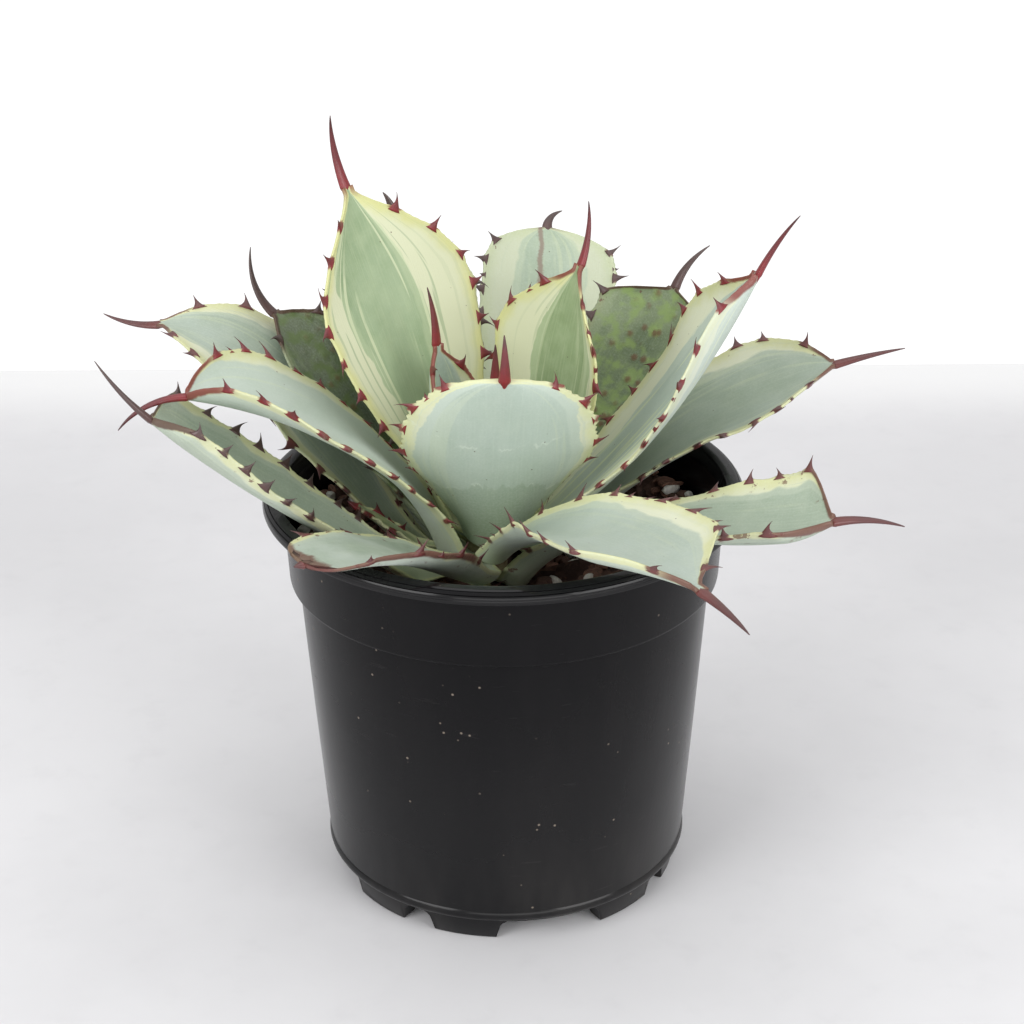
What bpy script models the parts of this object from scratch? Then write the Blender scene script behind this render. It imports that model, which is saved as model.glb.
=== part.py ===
"""Potted agave: nursery pot, soil, stem and a rosette of toothed leaves. Metres, +Z up, floor at z = 0."""

import math
import random

import bmesh
import bpy
from mathutils import Vector

MM = 0.001

render_steps = 48
cross_cuts = 4

# pot, radius and height in millimetres
rim_radius = 82.5
rim_height = 145.4
lip_inner = 76.6
band_top = 75.6
band_bottom = 74.3
step_height = 113.8
body_top = 71.3
body_bottom = 63.6
wall = 1.6
floor_under = 6.0
floor_top = 9.5
foot_inner = 52.0
foot_outer = 61.6
foot_gap_height = 7.6
foot_period = 90.0
wide_gap = 32.2
narrow_gap = 8.4
foot_turn = 14.7

# soil
soil_clear = 0.4
soil_edge = 112.0
well_floor = 107.6
well_radius = 31.0
bank_rise = 16.0
bank_start = 42.0
bank_end = 68.0
bank_front = -52.0
stem_hole = 8.4

# plant
crown_x = -6.0
crown_y = 7.0
stem_radius = 7.2
stem_bottom = 92.0
stem_top = 126.5
base_thick = 4.2
tip_thick = 1.8
edge_thick = 0.9
tooth_base = 3.4
tooth_height = 3.6

green = (0.36, 0.47, 0.38)
dark_green = (0.10, 0.19, 0.08)

# heading: degrees round the crown; swing: how far the heading drifts by the tip
# rise: degrees above level at base, middle and tip; roll: base and tip; cup: channel angle along the leaf
# root: distance from the crown axis, turn from the heading and height
leaves = [
    dict(name="leaf_inner_bud", heading=300, rise=(84, 86, 88), length=52, width=18, cup=(150, 140, 120),
         root=(2.5, 0, 130), spine=(14, 0, 0), teeth=3),
    dict(name="leaf_bud", heading=167, swing=-4, rise=(78, 78, 90), length=64, width=29, belly=0.63,
         roll=(-2, -22), cup=(140, 125, 80), root=(5, 0, 129), spine=(21, -10, 10), teeth=4),
    dict(name="leaf_front_cupped", heading=277, rise=(64, 66, 67), length=80, width=66, neck=0.38,
         belly=0.56, point=2.5, blunt=0.7, roll=(-2, -5), cup=(123, 52, 68), root=(10.3, 8.5, 125),
         spine=(16, 36, -4), teeth=7),
    dict(name="leaf_tall_striped", heading=145, swing=3, rise=(71, 68, 65), length=121, width=70, neck=0.4,
         belly=0.64, point=1.9, blunt=1.3, roll=(3, -16), cup=(110, 35, 92), root=(10.5, 4, 127),
         spine=(26, 39, 6), teeth=9),
    dict(name="leaf_behind_right", heading=40, rise=(73, 78, 63), length=91, width=63, neck=0.21,
         belly=0.68, point=1.9, blunt=1.41, roll=(1, -13), cup=(77, 25, 92), root=(14, -30, 127.8),
         spine=(22, 12, 27), teeth=7),
    dict(name="leaf_right_upright", heading=-1, rise=(45, 51, 65), length=123, width=67, neck=0.45,
         belly=0.67, roll=(-2, -4), cup=(115, 30, 155), root=(15.5, -1.3, 122), spine=(27, -9, -27),
         teeth=9),
    dict(name="leaf_hidden_back_left", heading=118, swing=-4, rise=(57, 57, 85), length=112, width=52,
         belly=0.75, roll=(0, -20), cup=(113, 48, 35), root=(14.8, 7, 121.3), spine=(10, 6, 36), teeth=7),
    dict(name="leaf_big_left", heading=195, rise=(72, 36.5, 8), length=116, width=65, neck=0.33, belly=0.62,
         point=2.4, blunt=0.75, cup=(98, 22, 155), root=(15, 14, 121.2), spine=(29, -34, 54), teeth=10,
         roll=(1, 1)),
    dict(name="leaf_back_broad", heading=68, swing=27, rise=(35, 40, 29), length=121, width=51, neck=0.36,
         belly=0.77, point=3, blunt=0.75, roll=(-3, 10), cup=(79, 79, 31), root=(20, 16, 123),
         spine=(14, -10, -60), teeth=8),
    dict(name="leaf_back_right_dark", heading=38, swing=3, rise=(48, 45, 64), length=92, width=52,
         neck=0.38, belly=0.86, point=2.3, blunt=1.2, roll=(19, 1), cup=(78, 52, 70),
         root=(23.4, -6, 126.2), spine=(20, -28, -27), teeth=6, colour=dark_green),
    dict(name="leaf_back_left_dark", heading=149, swing=14, rise=(42, 51, 36), length=97, width=42,
         point=2.9, blunt=0.93, roll=(1, -14), cup=(88, 58, 52), root=(20, -9, 119), spine=(25, 50, -42),
         teeth=6, colour=dark_green),
    dict(name="leaf_front_right", heading=-59, swing=-3, rise=(44, 16, 1), length=132, width=53, neck=0.3,
         belly=0.76, point=1.4, blunt=1.46, roll=(14, -5), cup=(119, 55, 49), root=(24, -23, 127),
         spine=(30, 0, -11), teeth=7),
    dict(name="leaf_right_long", heading=14, swing=-20, rise=(54, 31, 20), length=117, width=54, belly=0.7,
         point=2.4, blunt=0.95, roll=(-3, 10), cup=(130, 50, 66), root=(30, 14, 113), spine=(25, -12, 7),
         teeth=9, neck=0.4),
    dict(name="leaf_left_upper", heading=160, swing=4, rise=(31, 50, -11), length=128, width=44, neck=0.23,
         belly=0.68, point=2.4, blunt=1.09, roll=(-4, -10), cup=(52, 30, 26), root=(22.4, 9.2, 115),
         spine=(22, 24, -15), teeth=9),
    dict(name="leaf_front_left_short", heading=239, swing=-24, rise=(28, 28, 1), length=92, width=39,
         neck=0.53, belly=0.59, point=6, blunt=0.42, roll=(-6, 4), cup=(92, 30, 4), root=(25, 22, 120),
         spine=(3, 0, 0), teeth=4),
    dict(name="leaf_left_low", heading=198, swing=3, rise=(39, 37.5, 45), length=113, width=40, neck=0.3,
         belly=0.9, point=2.5, blunt=1.14, roll=(-22, 0), cup=(28, 75, 98), root=(28.2, 14.5, 115.2),
         spine=(26, 15, -26), teeth=9),
    dict(name="leaf_right_low", heading=-34, swing=10, rise=(58, 15, 22), length=130, width=44, neck=0.33,
         belly=0.9, point=2.1, blunt=1.25, roll=(-14, 14), cup=(93, 50, 113), root=(17, -20, 112),
         spine=(23, -31, -3), teeth=8),
    dict(name="leaf_hidden_back", heading=86, swing=-4, rise=(37, 41, 48), length=94, width=19, belly=0.49,
         roll=(3, 1), cup=(74, 41, 43), root=(21.3, 3.5, 115), spine=(16, 0, 0), teeth=7),
    dict(name="leaf_hidden_back_right", heading=56, swing=1, rise=(46, 33, 20), length=105, width=31,
         neck=0.4, belly=0.64, roll=(-14, -4), cup=(52, 60, 25), root=(23.5, 2, 114.2), spine=(16, -6, -6),
         teeth=7),
    dict(name="leaf_hidden_far_left", heading=123, swing=1, rise=(28, 47, 20), length=78, width=39,
         roll=(-5, 4), cup=(85, 41, 32), root=(22, 12, 113), spine=(16, 0, 0), teeth=7),
    dict(name="leaf_front_low", heading=265, rise=(9, 10, 8), length=40, width=15, thick=3, neck=0.36,
         point=3, cup=(60, 30, 20), root=(15.3, -2, 111.6), spine=(8, 0, 0), teeth=4),
    dict(name="leaf_small_left", heading=180, rise=(36, 36, 34), length=24, width=7, thick=2.4, neck=0.7,
         cup=(60, 40, 30), root=(25, 5, 121), spine=(4, 0, 0), teeth=2),
]







def start():
    for item in list(bpy.data.objects):
        bpy.data.objects.remove(item, do_unlink=True)
    built = bpy.data.collections.new("potted_agave")
    cutters = bpy.data.collections.new("cutters")
    bpy.context.scene.collection.children.link(built)
    bpy.context.scene.collection.children.link(cutters)
    return built, cutters


def make_material(name, colour, roughness, metallic=0.0):
    material = bpy.data.materials.new(name)
    material.use_nodes = True
    shader = material.node_tree.nodes["Principled BSDF"]
    shader.inputs["Base Color"].default_value = (*colour, 1.0)
    shader.inputs["Roughness"].default_value = roughness
    shader.inputs["Metallic"].default_value = metallic
    return material


def finish_object(name, bm, collection, material, smooth=True):
    mesh = bpy.data.meshes.new(name)
    bm.to_mesh(mesh)
    bm.free()
    for face in mesh.polygons:
        face.use_smooth = smooth
    item = bpy.data.objects.new(name, mesh)
    item.data.materials.append(material)
    collection.objects.link(item)
    return item


def apply_modifiers(item):
    graph = bpy.context.evaluated_depsgraph_get()
    mesh = bpy.data.meshes.new_from_object(item.evaluated_get(graph))
    item.modifiers.clear()
    item.data = mesh


def lathe(name, profile, collection, material):
    bm = bmesh.new()
    points = [bm.verts.new((radius * MM, 0, height * MM)) for radius, height in profile]
    for first, second in zip(points, points[1:]):
        bm.edges.new((first, second))
    item = finish_object(name, bm, collection, material)
    spin = item.modifiers.new("spin", "SCREW")
    spin.axis = "Z"
    spin.steps = render_steps
    spin.render_steps = render_steps
    spin.use_merge_vertices = True
    spin.merge_threshold = 0.00001
    spin.use_normal_calculate = True
    apply_modifiers(item)
    return item


def along(values, t):
    first, middle, last = values
    return first * (1 - t) * (1 - 2 * t) + middle * 4 * t * (1 - t) + last * t * (2 * t - 1)


def half_width(leaf, t):
    belly = leaf.get("belly", 0.6)
    neck = leaf.get("neck", 0.42)
    if t < belly:
        share = neck + (1 - neck) * math.sin(math.pi / 2 * t / belly) ** 1.6
    else:
        run = (t - belly) / (1 - belly)
        share = max(0.0, 1 - run ** leaf.get("point", 2.2)) ** leaf.get("blunt", 1.25)
    return max(leaf["width"] / 2 * share, 1.9)


def leaf_axis(leaf, count=60):
    heading = leaf["heading"]
    radius, turn, height = leaf["root"]
    angle = math.radians(heading + turn)
    point = Vector((crown_x + radius * math.cos(angle), crown_y + radius * math.sin(angle), height))
    axis = []
    step = leaf["length"] / count
    for index in range(count + 1):
        t = index / count
        rise = math.radians(along(leaf["rise"], t))
        turned = math.radians(heading + leaf.get("swing", 0) * t * t)
        forward = Vector((math.cos(rise) * math.cos(turned), math.cos(rise) * math.sin(turned), math.sin(rise)))
        if index:
            point = point + (forward + axis[-1][1]) * step / 2
        side = Vector((-math.sin(turned), math.cos(turned), 0))
        first, last = leaf.get("roll", (0, 0))
        roll = math.radians(first + (last - first) * t)
        up = forward.cross(side)
        rolled = side * math.cos(roll) + up * math.sin(roll)
        axis.append((point.copy(), forward, rolled, forward.cross(rolled)))
    length, bend, lean = leaf["spine"]
    forward, side, up = axis[-1][1:]
    spine = []
    for index in range(13):
        share = index / 12
        turned = forward + up * math.tan(math.radians(bend * share)) + side * math.tan(math.radians(lean * share))
        turned.normalize()
        if index:
            point = point + turned * length / 12
        across = (side - turned * side.dot(turned)).normalized()
        spine.append((point.copy(), turned, across, turned.cross(across)))
    return axis, spine


def pick(axis, t):
    place = min(max(t, 0.0), 1.0) * (len(axis) - 1)
    index = min(int(place), len(axis) - 2)
    share = place - index
    return [first.lerp(second, share) for first, second in zip(axis[index], axis[index + 1])]


def leaf_point(leaf, axis, spine, t, s, under, reach):
    if t > 1:
        run = t - 1
        point, forward, side, up = pick(spine, run)
        width = 1.9 * (1 - run) ** 0.8 + 0.25 * run
        thick = tip_thick * (1 - run) + 0.5 * run
        bend = math.radians(100)
        edge = thick * 0.6
    else:
        point, forward, side, up = pick(axis, t)
        width = half_width(leaf, t)
        base = leaf.get("thick", base_thick)
        thick = base + (tip_thick - base) * t
        bend = math.radians(along(leaf["cup"], t))
        edge = edge_thick
    if abs(bend) < 0.02:
        bend = 0.02
    radius = width / (bend / 2)
    side_share = max(-1.0, min(1.0, s))
    angle = side_share * bend / 2
    depth = under * (edge + (thick - edge) * (1 - side_share * side_share))
    out = side * math.sin(angle) - up * math.cos(angle)
    rim = side * math.cos(angle) + up * math.sin(angle)
    place = point + side * (radius * math.sin(angle)) + up * (radius * (1 - math.cos(angle)))
    return place + out * depth + rim * reach * (1 if s > 0 else -1)


def leaf_stations(leaf, rng):
    length = leaf["length"]
    count = leaf["teeth"]
    stations = [0.0]
    pitch = 0.86 / count
    for index in range(count):
        middle = 0.1 + pitch * (index + 0.5 + rng.uniform(-0.12, 0.12))
        half = tooth_base / length / 2
        stations += [middle - half, middle + half]
    stations.append(1.0)
    return stations + [1.25, 1.6, 2.0]


def build_leaf(leaf, collection, material, seed):
    rng = random.Random(seed)
    stations = leaf_stations(leaf, rng)
    rows = len(stations) - 1
    bm = bmesh.new()
    bmesh.ops.create_grid(bm, x_segments=cross_cuts, y_segments=rows, size=1)
    bmesh.ops.triangulate(bm, faces=bm.faces[:], quad_method="FIXED")
    bmesh.ops.solidify(bm, geom=bm.faces[:] + bm.edges[:] + bm.verts[:], thickness=1)
    low = min(vert.co.z for vert in bm.verts)
    middle = low + 0.5
    under = {vert: 1.0 if vert.co.z < middle else 0.0 for vert in bm.verts}
    row = {vert: round((vert.co.y + 1) / 2 * rows) for vert in bm.verts}
    rim_faces = []
    for face in bm.faces:
        sides = {round(vert.co.x, 3) for vert in face.verts}
        lines = sorted({row[vert] for vert in face.verts})
        if len(face.verts) == 4 and len(sides) == 1 and abs(sides.pop()) > 0.99:
            if lines[0] % 2 == 1 and lines[0] < 2 * leaf["teeth"]:
                rim_faces.append((face, lines[0], round(face.verts[0].co.x)))
    rim_faces.sort(key=lambda item: item[1:])
    teeth = []
    for face, line, side in rim_faces:
        made = bmesh.ops.poke(bm, faces=[face])["verts"][0]
        lean = rng.uniform(-0.2, 0.9)
        teeth.append((made, stations[line], stations[line + 1], lean, side, tooth_height * rng.uniform(0.7, 1.25)))
    axis, spine = leaf_axis(leaf)
    skew = 0.2 / leaf["teeth"]
    places = {}
    for made, first, last, lean, side, reach in teeth:
        t = first + (last - first) * lean + skew * side * math.sin(math.pi * min(1, first))
        places[made] = leaf_point(leaf, axis, spine, t, side, 0.5, reach)
    for vert in bm.verts:
        if vert not in places:
            t = stations[row[vert]]
            if t < 1:
                t += skew * vert.co.x * math.sin(math.pi * t)
            places[vert] = leaf_point(leaf, axis, spine, t, vert.co.x, under[vert], 0.0)
    for vert, place in places.items():
        vert.co = place * MM
    bmesh.ops.triangulate(bm, faces=[face for face in bm.faces if len(face.verts) > 3])
    bmesh.ops.recalc_face_normals(bm, faces=bm.faces[:])
    return finish_object(leaf["name"], bm, collection, material)


def make_pot(collection, cutter_collection, material):
    profile = [
        (0, floor_top), (61.2, floor_top), (body_top - wall, step_height - 1.4),
        (band_bottom - wall, step_height + 1.0), (band_top - wall, 139.0), (lip_inner - 0.3, 144.6),
        (lip_inner + 0.8, rim_height), (lip_inner + 2.6, rim_height - 0.6), (81.9, 142.4),
        (rim_radius, 141.3), (82.0, 140.6), (band_top, 139.6), (band_bottom, step_height + 0.4),
        (body_top + 0.1, step_height - 0.3), (body_bottom + 0.5, 14.0), (foot_outer + 1.0, 8.2),
        (foot_outer, 6.8), (foot_outer - 0.8, 0), (foot_inner + 2.6, 0), (foot_inner, floor_under),
        (0, floor_under),
    ]
    pot = lathe("pot", profile, collection, material)
    bm = bmesh.new()
    for turn in range(4):
        centre = foot_turn + turn * foot_period
        for middle, gap in ((centre, wide_gap), (centre + foot_period / 2, narrow_gap)):
            add_wedge(bm, middle, gap)
    wedges = finish_object("foot_gaps", bm, cutter_collection, material, smooth=False)
    wedges.hide_render = True
    wedges.display_type = "WIRE"
    cut = pot.modifiers.new("foot_gaps", "BOOLEAN")
    cut.operation = "DIFFERENCE"
    cut.solver = "EXACT"
    cut.object = wedges
    apply_modifiers(pot)
    return pot


def add_wedge(bm, middle, gap, parts=4):
    rings = []
    for index in range(parts + 1):
        ring = []
        share = index / parts - 0.5
        for radius, height, spread in ((foot_inner - 1.3, -1.0, 4.6), (70.0, -1.0, 4.6),
                                       (70.0, foot_gap_height, 0.0), (foot_inner - 1.3, foot_gap_height, 0.0)):
            angle = math.radians(middle + share * (gap + spread))
            place = (radius * math.cos(angle) * MM, radius * math.sin(angle) * MM, height * MM)
            ring.append(bm.verts.new(place))
        rings.append(ring)
    for first, second in zip(rings, rings[1:]):
        for index in range(4):
            after = (index + 1) % 4
            bm.faces.new((first[index], first[after], second[after], second[index]))
    bm.faces.new(rings[0][::-1])
    bm.faces.new(rings[-1])
    bmesh.ops.recalc_face_normals(bm, faces=bm.faces[:])
    bmesh.ops.triangulate(bm, faces=bm.faces[:])


def soil_height(x, y):
    # a shallow well round the crown and a bank against the pot wall, except at the front
    far = math.hypot(x - crown_x, y - crown_y)
    share = min(1.0, max(0.0, (far - well_radius) / 9.0))
    out = min(1.0, max(0.0, (math.hypot(x, y) - bank_start) / (bank_end - bank_start))) ** 1.3
    side = min(1.0, max(0.0, (y - bank_front) / 24.0))
    return well_floor + (soil_edge - well_floor) * share + bank_rise * out * side


def make_soil(collection, material):
    rng = random.Random(7)
    sectors = 36
    radii = [10, 20, 30, 39, 47, 55, 62, 68]
    top = body_top - wall - soil_clear - 0.2
    bottom = 60.0
    bm = bmesh.new()
    centre = bm.verts.new((0, 0, soil_height(0, 0) * MM))
    rings = []
    for radius in radii:
        ring = []
        for index in range(sectors):
            angle = 2 * math.pi * index / sectors
            spread = radius + (rng.uniform(-1.5, 1.5) if radius < 66 else 0)
            x = spread * math.cos(angle)
            y = spread * math.sin(angle)
            height = soil_height(x, y) + rng.uniform(-0.9, 0.9)
            ring.append(bm.verts.new((x * MM, y * MM, height * MM)))
        rings.append(ring)
    for radius, height in ((top, None), (bottom, 12.6), (bottom - 2.0, floor_top + 0.4)):
        ring = []
        for index in range(sectors):
            angle = 2 * math.pi * index / sectors
            x = radius * math.cos(angle)
            y = radius * math.sin(angle)
            level = soil_height(x, y) - 1.8 if height is None else height
            ring.append(bm.verts.new((x * MM, y * MM, level * MM)))
        rings.append(ring)
    for index in range(sectors):
        bm.faces.new((centre, rings[0][index], rings[0][(index + 1) % sectors]))
    for inner, outer in zip(rings, rings[1:]):
        for index in range(sectors):
            after = (index + 1) % sectors
            bm.faces.new((inner[index], outer[index], outer[after], inner[after]))
    bm.faces.new(rings[-1][::-1])
    bmesh.ops.recalc_face_normals(bm, faces=bm.faces[:])
    bmesh.ops.triangulate(bm, faces=bm.faces[:])
    soil = finish_object("soil", bm, collection, material, smooth=False)
    lumps = bpy.data.collections.new("perlite_lumps")
    bpy.context.scene.collection.children.link(lumps)
    placed = []
    while len(placed) < 26:
        angle = rng.uniform(0, 2 * math.pi)
        radius = 64 * math.sqrt(rng.uniform(0.05, 1))
        x = radius * math.cos(angle)
        y = radius * math.sin(angle)
        away = min([math.hypot(x - px, y - py) for px, py in placed] + [99])
        if math.hypot(x - crown_x, y - crown_y) > well_radius + 5 and away > 8:
            placed.append((x, y))
            bm = bmesh.new()
            bmesh.ops.create_icosphere(bm, subdivisions=1, radius=rng.uniform(2.2, 3.2) * MM)
            for vert in bm.verts:
                stretch = rng.uniform(0.8, 1.2)
                vert.co = Vector((vert.co.x * stretch + x * MM, vert.co.y * stretch + y * MM,
                                  vert.co.z * 0.8 + (soil_height(x, y) + 0.3) * MM))
            finish_object("lump", bm, lumps, material, smooth=False)
    join = soil.modifiers.new("lumps", "BOOLEAN")
    join.operation = "UNION"
    join.solver = "EXACT"
    join.operand_type = "COLLECTION"
    join.collection = lumps
    apply_modifiers(soil)
    for item in list(lumps.objects):
        bpy.data.objects.remove(item, do_unlink=True)
    bpy.data.collections.remove(lumps)
    bm = bmesh.new()
    bmesh.ops.create_cone(bm, cap_ends=True, segments=20, radius1=stem_hole * MM, radius2=stem_hole * MM,
                          depth=60 * MM)
    for vert in bm.verts:
        vert.co += Vector((crown_x * MM, crown_y * MM, (stem_bottom - 0.4 + 30) * MM))
    hole = finish_object("stem_hole", bm, cutters, material, smooth=False)
    hole.hide_render = True
    hole.display_type = "WIRE"
    cut = soil.modifiers.new("stem_hole", "BOOLEAN")
    cut.operation = "DIFFERENCE"
    cut.solver = "EXACT"
    cut.object = hole
    apply_modifiers(soil)
    return soil


def make_stem(collection, material):
    profile = [
        (0, stem_top), (3.2, stem_top - 0.4), (stem_radius, stem_top - 7), (stem_radius, stem_bottom + 1.2),
        (stem_radius - 1.2, stem_bottom), (0, stem_bottom),
    ]
    stem = lathe("stem", profile, collection, material)
    for vert in stem.data.vertices:
        vert.co += Vector((crown_x * MM, crown_y * MM, 0))
    return stem


def centre_all(collection):
    points = [item.matrix_world @ vert.co for item in collection.objects for vert in item.data.vertices]
    middle_x = (min(point.x for point in points) + max(point.x for point in points)) / 2
    middle_y = (min(point.y for point in points) + max(point.y for point in points)) / 2
    for item in collection.objects:
        for vert in item.data.vertices:
            vert.co -= Vector((middle_x, middle_y, 0))


built, cutters = start()
black_plastic = make_material("black_plastic", (0.012, 0.012, 0.013), 0.22)
bark_soil = make_material("bark_soil", (0.07, 0.04, 0.03), 0.95)
stem_skin = make_material("stem_skin", (0.30, 0.27, 0.16), 0.8)
make_pot(built, cutters, black_plastic)
make_soil(built, bark_soil)
make_stem(built, stem_skin)
for number, leaf in enumerate(leaves):
    colour = leaf.get("colour", green)
    build_leaf(leaf, built, make_material(leaf["name"] + "_skin", colour, 0.5), 40 + number)
centre_all(built)
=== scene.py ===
import math
import random

import bmesh
import bpy
from mathutils import Matrix, Vector


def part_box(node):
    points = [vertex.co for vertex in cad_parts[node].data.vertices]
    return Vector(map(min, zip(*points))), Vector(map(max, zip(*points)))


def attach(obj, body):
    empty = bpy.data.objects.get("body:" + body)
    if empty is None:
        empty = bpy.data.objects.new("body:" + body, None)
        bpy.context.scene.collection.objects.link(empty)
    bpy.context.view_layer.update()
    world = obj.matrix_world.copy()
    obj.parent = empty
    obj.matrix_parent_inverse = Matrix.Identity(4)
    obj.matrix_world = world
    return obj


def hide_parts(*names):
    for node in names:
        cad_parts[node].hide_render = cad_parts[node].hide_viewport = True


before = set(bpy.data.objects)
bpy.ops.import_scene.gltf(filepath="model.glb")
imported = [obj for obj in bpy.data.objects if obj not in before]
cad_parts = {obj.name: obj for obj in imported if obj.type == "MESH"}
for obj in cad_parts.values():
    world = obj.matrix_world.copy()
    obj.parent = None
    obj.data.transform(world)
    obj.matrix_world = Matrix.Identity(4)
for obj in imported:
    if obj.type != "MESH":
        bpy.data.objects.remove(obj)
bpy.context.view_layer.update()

# sizes below are in mm, measured from the middle of the pot's base
mm = 0.001
potLow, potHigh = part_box("pot")
axisX = (potLow.x + potHigh.x) / 2 / mm
axisY = (potLow.y + potHigh.y) / 2 / mm
potAxis = Vector((axisX, axisY, 0))


# shader maths on sockets

class Value:
    def __init__(self, paint, socket):
        self.paint = paint
        self.socket = socket

    def math(self, operation, other=None):
        inputs = {0: self} if other is None else {0: self, 1: other}
        return self.paint.node("ShaderNodeMath", 0, {"operation": operation}, inputs)

    def __add__(self, other):
        return self.math("ADD", other)

    __radd__ = __add__

    def __sub__(self, other):
        return self.math("SUBTRACT", other)

    def __rsub__(self, other):
        return self.math("MULTIPLY", -1.0).math("ADD", other)

    def __mul__(self, other):
        return self.math("MULTIPLY", other)

    __rmul__ = __mul__

    def most(self, other):
        return self.math("MAXIMUM", other)

    def size(self):
        return self.math("ABSOLUTE")

    def wave(self):
        return self.math("SINE")

    def ramp(self, low, high):
        return self.paint.node("ShaderNodeMapRange", 0, {"interpolation_type": "SMOOTHSTEP"},
                               {"Value": self, "From Min": low, "From Max": high})


class Paint:
    def __init__(self, name, **constants):
        self.material = bpy.data.materials.new(name)
        self.material.use_nodes = True
        self.tree = self.material.node_tree
        self.shader = self.tree.nodes["Principled BSDF"]
        for key, value in constants.items():
            self.shader.inputs[key.replace("_", " ")].default_value = value

    def feed(self, socket, value):
        if isinstance(value, Value):
            self.tree.links.new(value.socket, socket)
        elif isinstance(value, tuple) and len(value) == 3 and socket.type == "RGBA":
            socket.default_value = (*value, 1.0)
        else:
            socket.default_value = value

    def node(self, kind, output=0, settings=None, inputs=None):
        made = self.tree.nodes.new(kind)
        for key, value in (settings or {}).items():
            setattr(made, key, value)
        for key, value in (inputs or {}).items():
            self.feed(made.inputs[key], value)
        return Value(self, made.outputs[output])

    def place(self):
        return self.node("ShaderNodeTexCoord", "Object")

    def attribute(self, name):
        return self.node("ShaderNodeAttribute", "Vector", {"attribute_name": name})

    def split(self, vector):
        made = self.node("ShaderNodeSeparateXYZ", inputs={0: vector}).socket.node
        return [Value(self, output) for output in made.outputs]

    def join(self, x, y, z):
        return self.node("ShaderNodeCombineXYZ", inputs={"X": x, "Y": y, "Z": z})

    def noise(self, vector, scale, detail=3.0, rough=0.5):
        inputs = {"Vector": vector, "Scale": scale, "Detail": detail, "Roughness": rough}
        return self.node("ShaderNodeTexNoise", "Fac", inputs=inputs)

    def cells(self, vector, scale, output="Distance"):
        return self.node("ShaderNodeTexVoronoi", output, inputs={"Vector": vector, "Scale": scale})

    def mix(self, share, first, second):
        # sockets 0, 6 and 7 are the factor and the two colours
        return self.node("ShaderNodeMix", 2, {"data_type": "RGBA", "clamp_factor": True},
                         {0: share, 6: first, 7: second})

    def bump(self, height, strength, distance):
        bumped = self.node("ShaderNodeBump",
                           inputs={"Strength": strength, "Distance": distance, "Height": height})
        self.feed(self.shader.inputs["Normal"], bumped)

    def finish(self, colour, roughness):
        self.feed(self.shader.inputs["Base Color"], colour)
        self.feed(self.shader.inputs["Roughness"], roughness)
        return self.material


def addObject(name, data):
    made = bpy.data.objects.new(name, data)
    bpy.context.scene.collection.objects.link(made)
    return made


def addMesh(name, bm, materials=()):
    mesh = bpy.data.meshes.new(name)
    bm.to_mesh(mesh)
    bm.free()
    for material in materials:
        mesh.materials.append(material)
    return addObject(name, mesh)


def makePiece(name, bm, materials, smooth=True):
    for face in bm.faces:
        face.smooth = smooth
    piece = addMesh(name, bm, materials)
    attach(piece, "root")
    return piece


def closeHoles(bm):
    bmesh.ops.holes_fill(bm, edges=[edge for edge in bm.edges if edge.is_boundary], sides=0)
    bmesh.ops.recalc_face_normals(bm, faces=bm.faces[:])


def gridVerts(bm, columns, rows):
    return bmesh.ops.create_grid(bm, x_segments=columns, y_segments=rows, size=1)["verts"]


def tube(bm, sides, rows, place, skin=0):
    # a grid rolled into a closed skin: place sets each vertex from its shares round and along
    made = gridVerts(bm, sides, rows)
    for vert in made:
        place(vert, (vert.co.x + 1) / 2, (vert.co.y + 1) / 2)
    faces = {face for vert in made for face in vert.link_faces}
    bmesh.ops.remove_doubles(bm, verts=made, dist=1e-8)
    kept = {vert for face in faces if face.is_valid for vert in face.verts}
    ends = {edge for vert in kept for edge in vert.link_edges if edge.is_boundary}
    capped = bmesh.ops.holes_fill(bm, edges=list(ends), sides=0)["faces"]
    faces = [face for face in faces if face.is_valid] + capped
    for face in faces:
        face.material_index = skin
    bmesh.ops.recalc_face_normals(bm, faces=faces)


# leaves, as in the solids, with angles in degrees: root gives radius, turn and height, and spine
# gives length, bend and lean

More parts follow.
